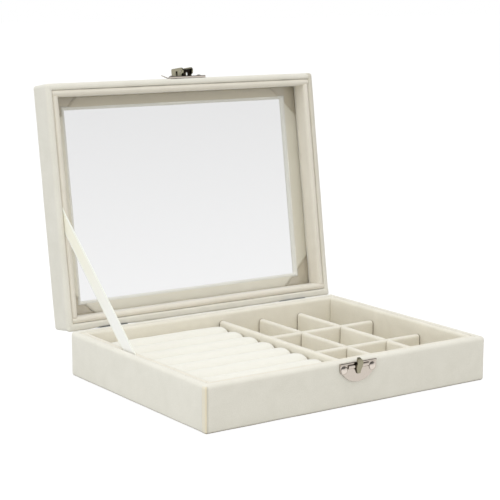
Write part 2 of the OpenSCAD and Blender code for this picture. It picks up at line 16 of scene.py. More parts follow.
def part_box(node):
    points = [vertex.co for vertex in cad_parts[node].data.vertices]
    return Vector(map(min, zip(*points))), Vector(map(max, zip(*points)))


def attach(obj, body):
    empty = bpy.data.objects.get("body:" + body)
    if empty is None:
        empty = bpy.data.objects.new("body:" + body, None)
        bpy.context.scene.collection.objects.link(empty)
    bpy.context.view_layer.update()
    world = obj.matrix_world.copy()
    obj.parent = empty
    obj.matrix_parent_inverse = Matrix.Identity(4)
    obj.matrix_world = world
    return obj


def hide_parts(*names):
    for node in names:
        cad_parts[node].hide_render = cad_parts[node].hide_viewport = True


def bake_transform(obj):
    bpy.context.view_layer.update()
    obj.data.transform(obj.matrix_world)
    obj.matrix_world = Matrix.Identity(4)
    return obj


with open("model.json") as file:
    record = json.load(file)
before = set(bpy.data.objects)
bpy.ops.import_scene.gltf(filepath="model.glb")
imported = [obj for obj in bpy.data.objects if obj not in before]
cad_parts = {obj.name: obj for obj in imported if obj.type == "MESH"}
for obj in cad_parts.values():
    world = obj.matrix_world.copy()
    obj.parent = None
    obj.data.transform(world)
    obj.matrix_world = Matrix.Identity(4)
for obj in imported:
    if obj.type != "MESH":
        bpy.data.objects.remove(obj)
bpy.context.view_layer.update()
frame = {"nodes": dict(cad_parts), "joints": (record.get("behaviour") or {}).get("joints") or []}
cad = frame["nodes"]
mm = 0.001


# ---- Boards -------------------------------------------------------------------------------
# Both trays are glued up from 2.4 mm board: four walls round a bottom panel, and four round the
# window panel. Cloth hides them, but for the corners of the window panel behind the glass.

def linear(colour):
    """An sRGB hex colour as the linear red, green, blue and alpha of a shader socket."""
    parts = [int(colour[i:i + 2], 16) / 255 for i in (1, 3, 5)]
    return [*(part / 12.92 if part <= 0.04045 else ((part + 0.055) / 1.055) ** 2.4 for part in parts), 1.0]


def add(tree, kind, inputs=None, **settings):
    """Adds a node with its settings. Each input is a value, or an output to link to it."""
    made = tree.nodes.new(kind)
    for name, value in settings.items():
        setattr(made, name, value)
    for name, value in (inputs or {}).items():
        if isinstance(value, bpy.types.NodeSocket):
            tree.links.new(value, made.inputs[name])
        else:
            made.inputs[name].default_value = value
    return made


# Sockets of a Mix node that mixes colours
SHARE, FIRST, SECOND, MIXED = 0, 6, 7, 2


def new_material(name):
    """An empty material and its node tree."""
    made = bpy.data.materials.new(name)
    made.use_nodes = True
    made.node_tree.nodes.clear()
    return made, made.node_tree


def dress(name, material):
    """Gives a piece of the construction model its finished material."""
    for slot in cad[name].material_slots:
        slot.material = material


# Cream-lined greyboard: pressed paper pulp, dull, with soft flecks of about 1 mm
board_light = linear("#E8DFC9")
board_dark = linear("#DACFB6")
fleck_size = 1.2 * mm
board, tree = new_material("cream_lined_greyboard")
where = add(tree, "ShaderNodeTexCoord").outputs["Object"]
flecks = add(tree, "ShaderNodeTexNoise", {"Vector": where, "Scale": 1 / fleck_size, "Detail": 4.0})
pulp = add(tree, "ShaderNodeMix",
           {SHARE: flecks.outputs["Fac"], FIRST: board_dark, SECOND: board_light}, data_type="RGBA")
grain = add(tree, "ShaderNodeBump",
            {"Strength": 0.2, "Distance": 0.1 * mm, "Height": flecks.outputs["Fac"]})
paper = add(tree, "ShaderNodeBsdfPrincipled",
            {"Base Color": pulp.outputs[MIXED], "Roughness": 0.9, "Normal": grain.outputs["Normal"]})
add(tree, "ShaderNodeOutputMaterial", {"Surface": paper.outputs[0]})

sides = ("front", "back", "left", "right")
for name in ("bottom_board", "lid_window_board"):
    dress(name, board)
for side in sides:
    dress(side + "_board", board)
    dress(f"lid_{side}_board", board)


# ---- Base covering ------------------------------------------------------------------------
# One strip of short-pile ivory velvet is glued round the four walls, folded over the rim and
# under the bottom. Its ends lap at the front left corner, where the raw edge shows.

def velvet(name, lit, shaded, sheen, pile=0.45 * mm, crease_shade=None, bloom="#EEF4FF"):
    """Short-pile velvet: dull, with a pale bloom at grazing angles and patches of brushed nap. A
    browner painted shade shows in narrow hollows, where the pile of two faces meets. A piece's
    attributes change its colour from place to place: a yellow, partly a real aged edge and partly
    painted shade, then painted shade, and painted light. Its tufts are drawn about twice as coarse
    as the real pile, so that they show."""
    made, tree = new_material(name)
    nap_size = 14 * mm
    where = add(tree, "ShaderNodeTexCoord").outputs["Object"]
    tufts = add(tree, "ShaderNodeTexNoise", {"Vector": where, "Scale": 1 / pile, "Detail": 2.0})
    nap = add(tree, "ShaderNodeTexNoise",
              {"Vector": where, "Scale": 1 / nap_size, "Detail": 3.0, "Roughness": 0.55, "Distortion": 0.8})
    brushed = add(tree, "ShaderNodeMapRange",
                  {"Value": nap.outputs["Fac"],
                   "From Min": 0.3, "From Max": 0.7, "To Min": 0.38, "To Max": 0.72})
    pile_shade = add(tree, "ShaderNodeMapRange",
                     {"Value": tufts.outputs["Fac"],
                      "From Min": 0.25, "From Max": 0.75, "To Min": -0.22, "To Max": 0.22})
    depth = add(tree, "ShaderNodeMath", {0: brushed.outputs[0], 1: pile_shade.outputs[0]}, use_clamp=True)
    colour = add(tree, "ShaderNodeMix",
                 {SHARE: depth.outputs[0], FIRST: linear(shaded), SECOND: linear(lit)}, data_type="RGBA")
    # Attributes paint shade and light, and a yellow, partly a real aged edge and partly painted shade
    changes = {"yellow_and_shade": "#EADFC4", "painted_shade": "#9E8F6E", "painted_light": "#FFFDF2"}
    for attribute, changed in changes.items():
        share = add(tree, "ShaderNodeAttribute", attribute_name=attribute)
        colour = add(tree, "ShaderNodeMix",
                     {SHARE: share.outputs["Fac"], FIRST: colour.outputs[MIXED], SECOND: linear(changed)},
                     data_type="RGBA")
    # Painted shade: where ambient occlusion finds a narrow hollow, the colour turns towards a browner one
    if crease_shade:
        meeting = add(tree, "ShaderNodeAmbientOcclusion", {"Distance": 2.2 * mm}, samples=6)
        openness = add(tree, "ShaderNodeMapRange",
                       {"Value": meeting.outputs["AO"], "From Min": 0.1, "From Max": 0.6})
        colour = add(tree, "ShaderNodeMix",
                     {SHARE: openness.outputs[0], FIRST: linear(crease_shade), SECOND: colour.outputs[MIXED]},
                     data_type="RGBA")
    fuzz = add(tree, "ShaderNodeBump",
               {"Strength": 0.35, "Distance": 0.25 * mm, "Height": tufts.outputs["Fac"]})
    fibre = add(tree, "ShaderNodeBsdfPrincipled",
                {"Base Color": colour.outputs[MIXED], "Roughness": 0.95, "Specular IOR Level": 0.2,
                 "Sheen Weight": sheen, "Sheen Roughness": 0.45, "Sheen Tint": linear(bloom),
                 "Normal": fuzz.outputs["Normal"]})
    add(tree, "ShaderNodeOutputMaterial", {"Surface": fibre.outputs[0]})
    return made


# Ivory velvet: sheared short, a cool bloom over a warm ground, and browner painted shade where faces meet
velvet_sheen = 0.36
crease_shade_brown = "#8C7A5C"
ivory_velvet = velvet("ivory_velvet", "#F1EDE1", "#E3DFD1", velvet_sheen, crease_shade=crease_shade_brown)

wrap_low, wrap_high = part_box("base_wrap")
board_low, board_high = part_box("left_board")
cover_low, cover_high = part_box("underside_cover")
cloth_t = board_low.x - wrap_low.x
wall_t = board_high.x - wrap_low.x + cloth_t
base_h = wrap_high.z
card_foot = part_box("floor_card")[0].z
cover_gap = 0.15 * mm
turn_under = cover_low.x - wrap_low.x - cover_gap

# How round the cloth lies at the foot, over the rim, over the rim between the hinge leaves, down
# the inner edge and at the upright corners
foot_round = 1.6 * mm
rim_round = 2.5 * mm
hinge_rim_round = 1.0 * mm
inner_round = 1.2 * mm
upright_round = 2.0 * mm
least_round = 0.3 * mm

# The strip's upper end stops part of the way round the corner, where it stands a little proud.
# Points lie close together there, at shares of the corner's turn and at distances beside it
lap_lift = 0.3 * mm
lap_width = 1.8 * mm
lap_step = 0.62
corner_shares = (0.0, 0.12, 0.25, 0.38, 0.5, lap_step - 0.02, lap_step + 0.02, 0.8, 1.0)
beside_corner = (0.35 * mm, 1.0 * mm, lap_width - 0.1 * mm, lap_width + 0.1 * mm, 3.5 * mm)
side_steps = 22


def arc(inset, drop, radius, start, end, steps=6):
    """Points (inset, drop) on an arc, with angles from the inward direction towards the rim."""
    angles = [math.radians(start + (end - start) * i / steps) for i in range(steps + 1)]
    return [(inset + radius * math.cos(angle), drop - radius * math.sin(angle)) for angle in angles]


def wall_profile(height, inner_end, outer_round):
    """From a tray's far face, along the outside of its wall, over the rim and down inside it.
    Each point is (inset from the outer face, drop from the rim)."""
    outer_steps, inner_steps = 9, 6
    far_edge = arc(foot_round, height - foot_round, foot_round, -90, -180)
    flat = height - foot_round - outer_round
    outside = [(0.0, height - foot_round - flat * i / outer_steps) for i in range(1, outer_steps)]
    rim = arc(outer_round, outer_round, outer_round, 180, 90)
    inner_rim = arc(wall_t - inner_round, inner_round, inner_round, 90, 0)
    inner_flat = inner_end - inner_round
    inside = [(wall_t, inner_round + inner_flat * i / inner_steps) for i in range(1, inner_steps + 1)]
    return far_edge + outside + rim + inner_rim + inside


def ring(inset_x, inset_y, z, lap=0.0, lap_corner=0):
    """Points round the tray's outline at a height, from its front left corner and rightwards round.
    Where the strip's two ends overlap, at one corner, lap lifts the end that lies on top."""
    half = Vector((wrap_high.x - inset_x, (wrap_high.y - wrap_low.y) / 2 - inset_y))
    radius = max(upright_round - max(inset_x, inset_y), least_round)
    signs = [Vector((-1, -1)), Vector((1, -1)), Vector((1, 1)), Vector((-1, 1))]

    def corner_point(corner, share):
        angle = math.radians(180 + 90 * (corner + share))
        lifted = radius + (lap_lift * lap if corner == lap_corner and share < lap_step else 0)
        return Vector((signs[corner].x * (half.x - radius) + lifted * math.cos(angle),
                       signs[corner].y * (half.y - radius) + lifted * math.sin(angle)))

    points = []
    for corner in range(4):
        points += [corner_point(corner, share) for share in corner_shares]
        following = (corner + 1) % 4
        start, end = corner_point(corner, 1.0), corner_point(following, 0.0)
        outward = Vector((end.y - start.y, start.x - end.x)).normalized()
        lifts_end = following == lap_corner
        if lifts_end:
            end -= outward * lap_lift * lap
        run = end - start
        ends = [distance / run.length for distance in beside_corner]
        inner = [ends[-1] + (1 - 2 * ends[-1]) * i / side_steps for i in range(1, side_steps)]
        for share in [*ends, *inner, *[1 - near_end for near_end in reversed(ends)]]:
            over = lifts_end and (1 - share) * run.length < lap_width
            points.append(start + run * share + outward * lap_lift * lap * over)
    return [Vector((point.x, point.y, z)) for point in points]


def hinge_side(points, hinge_points):
    """Changes one ring of points into another along the back, with the change at the back corners."""
    corner_count = len(corner_shares)
    side_count = 2 * len(beside_corner) + side_steps - 1
    shares = [0.0] * 2 * (corner_count + side_count) + list(corner_shares) + [1.0] * side_count
    shares += [1 - share for share in corner_shares] + [0.0] * side_count
    return [point.lerp(at_hinge, share) for point, at_hinge, share in zip(points, hinge_points, shares)]


def wall_rings(height, inner_end, rim_z, down, lap_corner):
    """Rings of points along a tray's wall, whose drop from the rim counts downwards in the base
    (down = -1) and upwards in the shut lid (down = 1). The rim is squarer where the hinges lie."""
    rings = []
    outline = wall_profile(height, inner_end, rim_round)
    hinge_outline = wall_profile(height, inner_end, hinge_rim_round)
    for (inset, drop), (hinge_inset, hinge_drop) in zip(outline, hinge_outline):
        lap = 1.0 if inset < foot_round * 0.9 and drop > rim_round * 0.5 else 0.0
        rings.append(hinge_side(ring(inset, inset, rim_z + down * drop, lap, lap_corner),
                                ring(hinge_inset, hinge_inset, rim_z + down * hinge_drop, lap, lap_corner)))
    return rings


def loft(rings, joined=True):
    """A closed shell through rings of points. Its last ring is joined back to its first, or else
    both end rings are capped."""
    shell = bmesh.new()
    rows = [[shell.verts.new(point) for point in points] for points in rings]
    following_rows = rows[1:] + rows[:1] if joined else rows[1:]
    for row, following in zip(rows, following_rows):
        for i in range(len(row)):
            j = (i + 1) % len(row)
            shell.faces.new((row[i], row[j], following[j], following[i]))
    if not joined:
        shell.faces.new(rows[0])
        shell.faces.new(reversed(rows[-1]))
    bmesh.ops.remove_doubles(shell, verts=shell.verts, dist=0.002 * mm)
    bmesh.ops.recalc_face_normals(shell, faces=shell.faces)
    return shell


def soften(shell, depth, size, seed=0.0):
    """Moves each point a little in or out, as cloth lies over board. Each seed gives other waves."""
    shell.normal_update()
    shift = Vector((seed * 7.3, seed * 3.1, 0))
    for vert in shell.verts:
        vert.co += vert.normal * depth * noise.noise(vert.co / size + shift)


def piece(name, shell, material, slot, body, *stands_for):
    """Turns a shell into a finished piece that moves with a body and stands for its plain solids."""
    mesh = bpy.data.meshes.new(name)
    shell.to_mesh(mesh)
    shell.free()
    mesh.materials.append(material)
    mesh.shade_smooth()
    made = bpy.data.objects.new(name, mesh)
    bpy.context.scene.collection.objects.link(made)
    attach(made, body)
    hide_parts(*stands_for)
    return made


foot_edge = foot_round + 0.5 * mm
under = [(inset, base_h) for inset in (turn_under, turn_under * 0.6, foot_edge)]
behind = [(wall_t - cloth_t, base_h - card_foot), (wall_t - cloth_t, cloth_t), (cloth_t, cloth_t),
          (cloth_t, base_h - cloth_t), (turn_under, base_h - cloth_t)]
rings = [ring(inset, inset, base_h - drop) for inset, drop in under]
rings += wall_rings(base_h, base_h - card_foot, base_h, down=-1, lap_corner=0)
rings += [ring(inset, inset, base_h - drop) for inset, drop in behind]
shell = loft(rings)
soften(shell, 0.12 * mm, 16 * mm)
soften(shell, 0.04 * mm, 2.5 * mm, seed=1)

# From one share of the corner's turn to the lap's step the raw edge has gone yellow, and from there to
# another share painted shadow darkens the cloth beside the lap. At the back the cloth keeps clear of the
# hinges' lid leaves
yellow_and_shade = shell.verts.layers.float.new("yellow_and_shade")
painted_shade = shell.verts.layers.float.new("painted_shade")
corner = Vector((wrap_low.x + upright_round, wrap_low.y + upright_round))
edge_from, shade_to, margin = 0.35, 0.9, 0.05
edge_depth = 0.4 * mm
edge_top = base_h - 1.2 * mm
lap_depth = 0.5 * mm
clear_of_leaf = 0.06 * mm
for vert in shell.verts:
    vert.co.z = max(vert.co.z, 0.0)
    vert.co.y = min(vert.co.y, wrap_high.y - clear_of_leaf)
    from_corner = vert.co.xy - corner
    turned = math.degrees(math.atan2(-from_corner.y, -from_corner.x)) / 90
    outside = from_corner.length > upright_round - edge_depth and vert.co.z < edge_top
    if outside and -margin < turned < 1 + margin:
        vert[yellow_and_shade] = 1.0 if edge_from < turned < lap_step else 0.5 if turned < lap_step else 0.0
        # Painted shadow beside the lap's step
        vert[painted_shade] = 0.25 if lap_step < turned < shade_to else 0.0
    elif vert.co.x < wrap_low.x + lap_depth and 0 < from_corner.y < lap_width:
        vert[yellow_and_shade] = 0.5
piece("base_velvet", shell, ivory_velvet, "velvet", "base", "base_wrap")


# ---- Underside cover and floor card -------------------------------------------------------
# Two cards faced with velvet paper. One is glued over the turned-under edges, and the other lies
# on the bottom board and is the floor of the tray and its compartments.

def soft_bar(length, width, height, top_round, end_round, across=6, spacing=2.5 * mm):
    """A cloth-covered bar along X with its middle at the origin and its foot at z = 0. Its long top
    edges and its ends are rounded."""
    half = length / 2
    end_steps, arc_steps, upright_steps = 5, 6, 4
    steps = max(4, round(length / spacing))
    widest_round = 0.98
    stations = {-half, half}
    stations |= {-half + length * i / steps for i in range(steps + 1)}
    for i in range(1, end_steps + 1):
        inward = end_round * (1 - math.cos(math.radians(90) * i / end_steps))
        stations |= {-half + inward, half - inward}
    rings = []
    for x in sorted(stations):
        depth = max(0.0, end_round - (half - abs(x)))
        pull = end_round - math.sqrt(max(0.0, end_round ** 2 - depth ** 2))
        side = width / 2 - pull
        crown = height - pull
        radius = min(top_round, side * widest_round)
        upright = crown - radius
        points = [(-side, upright * i / upright_steps) for i in range(upright_steps)]
        for start, centre in ((180, -side + radius), (90, side - radius)):
            for i in range(arc_steps + 1):
                angle = math.radians(start - 90 * i / arc_steps)
                points.append((centre + radius * math.cos(angle), upright + radius * math.sin(angle)))
            if start == 180:
                run = 2 * (side - radius)
                points += [(-side + radius + run * i / across, crown) for i in range(1, across)]
        points += [(side, upright * i / upright_steps) for i in range(upright_steps - 1, -1, -1)]
        points += [(side - 2 * side * i / across, 0.0) for i in range(1, across)]
        rings.append([Vector((x, y, z)) for y, z in points])
    return loft(rings, joined=False)


def put(shell, place, turn=0.0, roll=0.0):
    """Turns a shell about Z, rolls it about its own length, and moves it to its place."""
    matrix = Matrix.Translation(place) @ Matrix.Rotation(math.radians(turn), 4, "Z")
    shell.transform(matrix @ Matrix.Rotation(math.radians(roll), 4, "X"))


# Velvet paper: cotton flock on paper, finer and a little browner than the cloth, with less bloom
velvet_paper = velvet("velvet_paper", "#DDD6C4", "#CFC7B3", 0.15, pile=0.3 * mm)

size = cover_high - cover_low
shell = soft_bar(size.x, size.y, size.z, 0.3 * mm, 0.4 * mm, across=20, spacing=8 * mm)
put(shell, (0, 0, cover_low.z))
piece("underside_paper", shell, velvet_paper, "underside_velvet", "base", "underside_cover")

low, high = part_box("floor_card")
size = high - low
shell = soft_bar(size.x, size.y, size.z, 0.6 * mm, 0.6 * mm, across=48, spacing=3 * mm)
put(shell, (0, 0, low.z))
soften(shell, 0.1 * mm, 14 * mm, seed=2)
piece("floor_velvet", shell, ivory_velvet, "velvet_card", "base", "floor_card")


# ---- Base liner ---------------------------------------------------------------------------
# Four strips of soft board wrapped in the same velvet stand inside the walls with a narrow groove
# between, so that the rim shows as two rounded beads.

def lay_bar(name, low, high, body, cloth, top_round, end_round, seed, roll=0.0, place=None, shade_share=0.0):
    """Fills a box with a soft bar along its longer side. Below its top, painted shade darkens its sides."""
    size = high - low
    along_y = size.y > size.x
    length, width = (size.y, size.x) if along_y else (size.x, size.y)
    shell = soft_bar(length, width, size.z, top_round, end_round)
    middle = (low + high) / 2
    put(shell, (middle.x, middle.y, high.z if roll else low.z), 90 if along_y else 0, roll)
    soften(shell, 0.12 * mm, 11 * mm, seed)
    soften(shell, 0.05 * mm, 2.2 * mm, seed + 0.5)
    painted_shade = shell.verts.layers.float.new("painted_shade")
    for vert in shell.verts:
        vert[painted_shade] = shade_share * min(1.0, max(0.0, (high.z - vert.co.z) / top_round - 1))
    if place:
        shell.transform(place)
    return piece(name + "_velvet", shell, cloth, "velvet", body, name)


def pressed_out(low, high, middle):
    """A liner strip's box, grown towards the wall, where its pile fills most of the groove, and at
    its ends, where it closes the corners."""
    fill = 0.5 * mm
    centre = (low + high) / 2
    axis = 0 if high.y - low.y > high.x - low.x else 1
    face = low if centre[axis] < middle[axis] else high
    face[axis] += -fill if face is low else fill
    low[1 - axis] -= fill
    high[1 - axis] += fill
    return low, high


# Lining velvet: the same cloth, a little yellower inside the box, as painted shade of light bounced there
lining_velvet = velvet("ivory_velvet_lining", "#F2EDDF", "#E3DDCD", velvet_sheen, crease_shade=crease_shade_brown)
liner_end = 0.5 * mm
for seed, side in enumerate(sides):
    name = "base_liner_" + side
    low, high = pressed_out(*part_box(name), (wrap_low + wrap_high) / 2)
    # The right strip gets painted shade on its sides
    lay_bar(name, low, high, "base", lining_velvet, min((high - low).xy) / 2, liner_end, seed + 3,
            shade_share=0.1 if side == "right" else 0.0)


# ---- Dividers -----------------------------------------------------------------------------
# Velvet-covered boards with soft tops. The main one parts the ring tray from the compartments.
# The small ones are half lapped together, and the rows' velvet runs over the laps and hides them.

divider_round = 1.6 * mm
divider_end = 0.8 * mm
rows = ("row_divider_front", "row_divider_back")
columns = ("column_divider_1", "column_divider_2")
low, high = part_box("main_divider")
lay_bar("main_divider", low, high, "base", lining_velvet, divider_round, divider_end, 8)
for seed, name in enumerate(rows):
    low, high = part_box(name)
    lay_bar(name, low, high, "base", lining_velvet, divider_round, divider_end, seed + 12)


def even_row(part, count, first, step, cloth):
    """Repeats a part at even steps in a Geometry Nodes tree, and returns the whole row as one shell."""
    tree = bpy.data.node_groups.new("even_row", "GeometryNodeTree")
    kinds = {"Part": "Geometry", "Count": "Int", "First": "Vector", "Step": "Vector", "Cloth": "Material"}
    for title, kind in kinds.items():
        tree.interface.new_socket(title, in_out="INPUT", socket_type="NodeSocket" + kind)
    tree.interface.new_socket("Row", in_out="OUTPUT", socket_type="NodeSocketGeometry")
    given = tree.nodes.new("NodeGroupInput").outputs
    places = add(tree, "GeometryNodeMeshLine",
                 {"Count": given["Count"], "Start Location": given["First"], "Offset": given["Step"]})
    copies = add(tree, "GeometryNodeInstanceOnPoints",
                 {"Points": places.outputs[0], "Instance": given["Part"]})
    solid = add(tree, "GeometryNodeRealizeInstances", {"Geometry": copies.outputs[0]})
    covered = add(tree, "GeometryNodeSetMaterial",
                  {"Geometry": solid.outputs[0], "Material": given["Cloth"]})
    add(tree, "NodeGroupOutput", {"Row": covered.outputs[0]})

    mesh = bpy.data.meshes.new("row_part")
    part.to_mesh(mesh)
    part.free()
    holder = bpy.data.objects.new("row_part", mesh)
    bpy.context.scene.collection.objects.link(holder)
    repeat = holder.modifiers.new("repeat", "NODES")
    repeat.node_group = tree
    values = {"Count": count, "First": first, "Step": step, "Cloth": cloth}
    for socket in tree.interface.items_tree:
        if socket.name in values:
            repeat[socket.identifier] = values[socket.name]
    whole = bpy.data.meshes.new_from_object(holder.evaluated_get(bpy.context.evaluated_depsgraph_get()))
    shell = bmesh.new()
    shell.from_mesh(whole)
    bpy.data.objects.remove(holder)
    bpy.data.meshes.remove(mesh)
    bpy.data.meshes.remove(whole)
    return shell


row_low, row_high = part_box(rows[0])
row_t = row_high.y - row_low.y
for seed, name in enumerate(columns):
    low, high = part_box(name)
    cell = (high.y - low.y - len(rows) * row_t) / (len(rows) + 1)
    bar = soft_bar(cell, high.x - low.x, high.z - low.z, divider_round, divider_end)
    put(bar, (0, 0, 0), 90)
    cover = even_row(bar, len(rows) + 1, ((low.x + high.x) / 2, low.y + cell / 2, low.z),
                     (0, cell + row_t, 0), lining_velvet)
    soften(cover, 0.12 * mm, 11 * mm, seed + 10)
    piece(name + "_velvet", cover, lining_velvet, "velvet", "base", name)


# ---- Ring rolls ---------------------------------------------------------------------------
# Eight foam rolls in white velvet lie side by side on the floor card. A ring is held in the
# crease between two rolls. Each is glued down along its flat foot and sewn shut at its ends.

# Roll velvet: longer pile in cream white, with little bloom, so that it looks plump and matt
roll_velvet = velvet("cream_white_roll_velvet", "#F4F2E8", "#EEEBE0", 0.2, pile=0.5 * mm)
roll_count = sum(name.startswith("ring_roll_") for name in cad)
glued_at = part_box("ring_roll_1")[0].z
roll_end_round = 3.0 * mm
squareness = 2.5
swell_cap = 0.35 * mm


def roll_shell(low, high):
    """A soft roll along X with a flat foot, a little square from its neighbours' push. Its rings of
    points stand closer together towards its ends."""
    size = high - low
    half_l, radius = size.x / 2, size.y / 2
    centre = Vector(((low.x + high.x) / 2, (low.y + high.y) / 2, high.z - radius))
    around, along = 44, 46
    crowding = 0.35
    rings = []
    for i in range(along + 1):
        crowded, even = -math.cos(math.pi * i / along), 2 * i / along - 1
        x = half_l * (crowding * crowded + (1 - crowding) * even)
        depth = max(0.0, roll_end_round - (half_l - abs(x)))
        scale = 1 - (roll_end_round - math.sqrt(max(0.0, roll_end_round ** 2 - depth ** 2))) / radius
        points = []
        for j in range(around):
            angle = 2 * math.pi * j / around
            sideways, upward = math.cos(angle), math.sin(angle)
            y = math.copysign(abs(sideways) ** (2 / squareness), sideways) * radius * scale
            z = math.copysign(abs(upward) ** (2 / squareness), upward) * radius * scale
            points.append(Vector((centre.x + x, centre.y + y, max(centre.z + z, low.z))))
        rings.append(points)
    return loft(rings, joined=False)


def swollen(covers):
    """Swells the rolls' covers over their foam by cloth simulation, at forty times their size, at
    which the solver's forces suit velvet. The glued feet stay, and no point moves past a cap."""
    scale = 40
    last_frame = 20
    joined = bpy.data.meshes.new("roll_covers")
    everything = bmesh.new()
    for cover in covers:
        part = bpy.data.meshes.new("roll_cover")
        cover.to_mesh(part)
        everything.from_mesh(part)
        bpy.data.meshes.remove(part)
    everything.to_mesh(joined)
    everything.free()
    joined.transform(Matrix.Scale(scale, 4))
    blown = bpy.data.objects.new("roll_covers", joined)
    bpy.context.scene.collection.objects.link(blown)
    glued = blown.vertex_groups.new(name="glued")
    foot = min(vert.co.z for vert in joined.vertices) + 0.3 * mm * scale
    glued.add([vert.index for vert in joined.vertices if vert.co.z < foot], 1.0, "REPLACE")
    cloth = blown.modifiers.new("swell", "CLOTH")
    cloth.settings.quality = 6
    cloth.settings.vertex_group_mass = "glued"
    cloth.settings.use_pressure = True
    cloth.settings.uniform_pressure_force = 4
    cloth.settings.effector_weights.gravity = 0
    cloth.collision_settings.use_collision = False
    cloth.point_cache.frame_end = last_frame
    for frame_number in range(1, last_frame + 1):
        bpy.context.scene.frame_set(frame_number)
    result = blown.evaluated_get(bpy.context.evaluated_depsgraph_get()).data
    moved = [(after.co - before.co) / scale for after, before in zip(result.vertices, joined.vertices)]
    bpy.context.scene.frame_set(1)
    bpy.data.objects.remove(blown)
    bpy.data.meshes.remove(joined)
    moves = iter(moved)
    for cover in covers:
        for vert in cover.verts:
            step = next(moves)
            vert.co += step * min(1.0, swell_cap / max(step.length, 1e-9))


covers = []
for number in range(1, roll_count + 1):
    shell = roll_shell(*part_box(f"ring_roll_{number}"))
    soften(shell, 0.25 * mm, 9 * mm, number)
    for vert in shell.verts:
        vert.co.z = max(vert.co.z, glued_at)
    covers.append(shell)
swollen(covers)
for number, shell in enumerate(covers, start=1):
    for vert in shell.verts:
        vert.co.z = max(vert.co.z, glued_at)
    name = f"ring_roll_{number}"
    roll = piece(name + "_velvet", shell, roll_velvet, "roll_velvet", "base", name)
    smooth = roll.modifiers.new("cover", "SUBSURF")
    smooth.levels = smooth.render_levels = 1


# ---- Lid covering -------------------------------------------------------------------------
# The lid is a shallow tray like the base, with a window cut in its panel. Its velvet goes round
# the walls and over the panel, and is rolled through the window, so that its edge is soft.

hinge = next(joint for joint in frame["joints"] if joint["name"] == "lid_hinge")
hinge_at = Matrix.Translation(hinge["pos_m"])
open_by = math.radians(hinge["range_deg"][1])
stand_open = hinge_at @ Matrix.Rotation(-open_by, 4, "X") @ hinge_at.inverted()


def shut_box(name):
    """A lid piece's lowest and highest corner with the lid shut."""
    back = stand_open.inverted()
    points = [back @ vert.co for vert in cad[name].data.vertices]
    low = Vector([min(point[axis] for point in points) for axis in range(3)])
    high = Vector([max(point[axis] for point in points) for axis in range(3)])
    return low, high


# Lid velvet: the same cloth, a little duller, and without the browner painted shade in hollows, which
# would show all over it where the glass lies on it
lid_velvet = velvet("ivory_velvet_lid", "#ECE8DC", "#DEDACC", velvet_sheen)

lid_low, lid_high = shut_box("lid_wrap")
flap_low, flap_high = shut_box("window_flaps")
leaf_low, leaf_high = shut_box("hinge_leaf_lid_right")
lid_h = lid_high.z - lid_low.z
panel_drop = flap_low.z - lid_low.z
frame_side = 18 * mm        # the panel's width beside the window
frame_ends = 16 * mm        # and at its front and back
lip_round = 1.5 * mm
lip_inset = frame_ends - lip_round
lip_end = panel_drop + 0.3 * mm
face_edge = foot_round + 0.4 * mm
face_steps = 7


def window_ring(inset, drop, out):
    """A ring of the lid whose insets run from the outer face (out = 0) to the window (out = 1)."""
    inset_x = inset + out * (frame_side - frame_ends)
    return ring(inset_x, inset, lid_low.z + drop, lap_corner=2)


lip = arc(lip_inset, panel_drop + lip_round, lip_round, 90, 0, 5)
lip += arc(lip_inset, lid_h - lip_round, lip_round, 0, -90, 5)
behind = [(wall_t - cloth_t, panel_drop + cloth_t), (wall_t - cloth_t, cloth_t), (cloth_t, cloth_t),
          (cloth_t, lid_h - cloth_t)]
rings = [window_ring(inset, drop, 1.0) for inset, drop in lip]
for i in range(1, face_steps):
    share = i / face_steps
    rings.append(window_ring(lip_inset + (face_edge - lip_inset) * share, lid_h, 1 - share))
rings += wall_rings(lid_h, panel_drop + cloth_t, lid_low.z, down=1, lap_corner=2)
rings += [ring(inset, inset, lid_low.z + drop) for inset, drop in behind]
for drop in (lid_h - cloth_t, panel_drop + cloth_t, lip_end):
    rings.append(window_ring(lip_inset - cloth_t, drop, 1.0))
shell = loft(rings)
soften(shell, 0.14 * mm, 16 * mm, seed=20)
soften(shell, 0.04 * mm, 2.5 * mm, seed=21)

# The cloth is fuller along the back rim. It lies flat under the left hinge leaf, and less so under
# the right one
hinge_fullness = 0.45 * mm
fullness_reach = 5 * mm
at_right_leaf = 0.6
beside_leaf = 2 * mm
back_face = wrap_high.y - 1.2 * mm
for vert in shell.verts:
    drop = vert.co.z - lid_low.z
    if vert.co.y > back_face and 0 <= drop < fullness_reach:
        clear = max(leaf_low.x - abs(vert.co.x), abs(vert.co.x) - leaf_high.x) / beside_leaf
        beside = max(at_right_leaf if vert.co.x > 0 else 0.0, min(1.0, clear))
        vert.co.y += hinge_fullness * beside * math.cos(math.radians(90) * drop / fullness_reach)

# Behind the glass, painted light brightens the window's lip towards white. Painted shade darkens the
# right wall towards the front
painted_light = shell.verts.layers.float.new("painted_light")
painted_shade = shell.verts.layers.float.new("painted_shade")
window_half = Vector((wrap_high.x - frame_side, (wrap_high.y - wrap_low.y) / 2 - frame_ends))
for vert in shell.verts:
    past_window = max(abs(vert.co.x) - window_half.x, abs(vert.co.y) - window_half.y)
    below_face = lid_high.z - vert.co.z
    if past_window < 2 * lip_round:
        vert[painted_light] = min(1.0, max(0.0, (below_face - 0.5 * lip_round) / lip_round))
    elif vert.co.x > wrap_high.x - wall_t:
        vert[painted_shade] = 0.25 * (wrap_high.y - vert.co.y) / (wrap_high.y - wrap_low.y)
shell.transform(stand_open)
piece("lid_velvet", shell, lid_velvet, "velvet", "lid", "lid_wrap")


# ---- Window flaps -------------------------------------------------------------------------
# The velvet of the window is slit to its corners, and its four flaps are turned in and glued to
# the panel behind the glass. Their ends are cut at 45 degrees and leave the panel's corners bare.

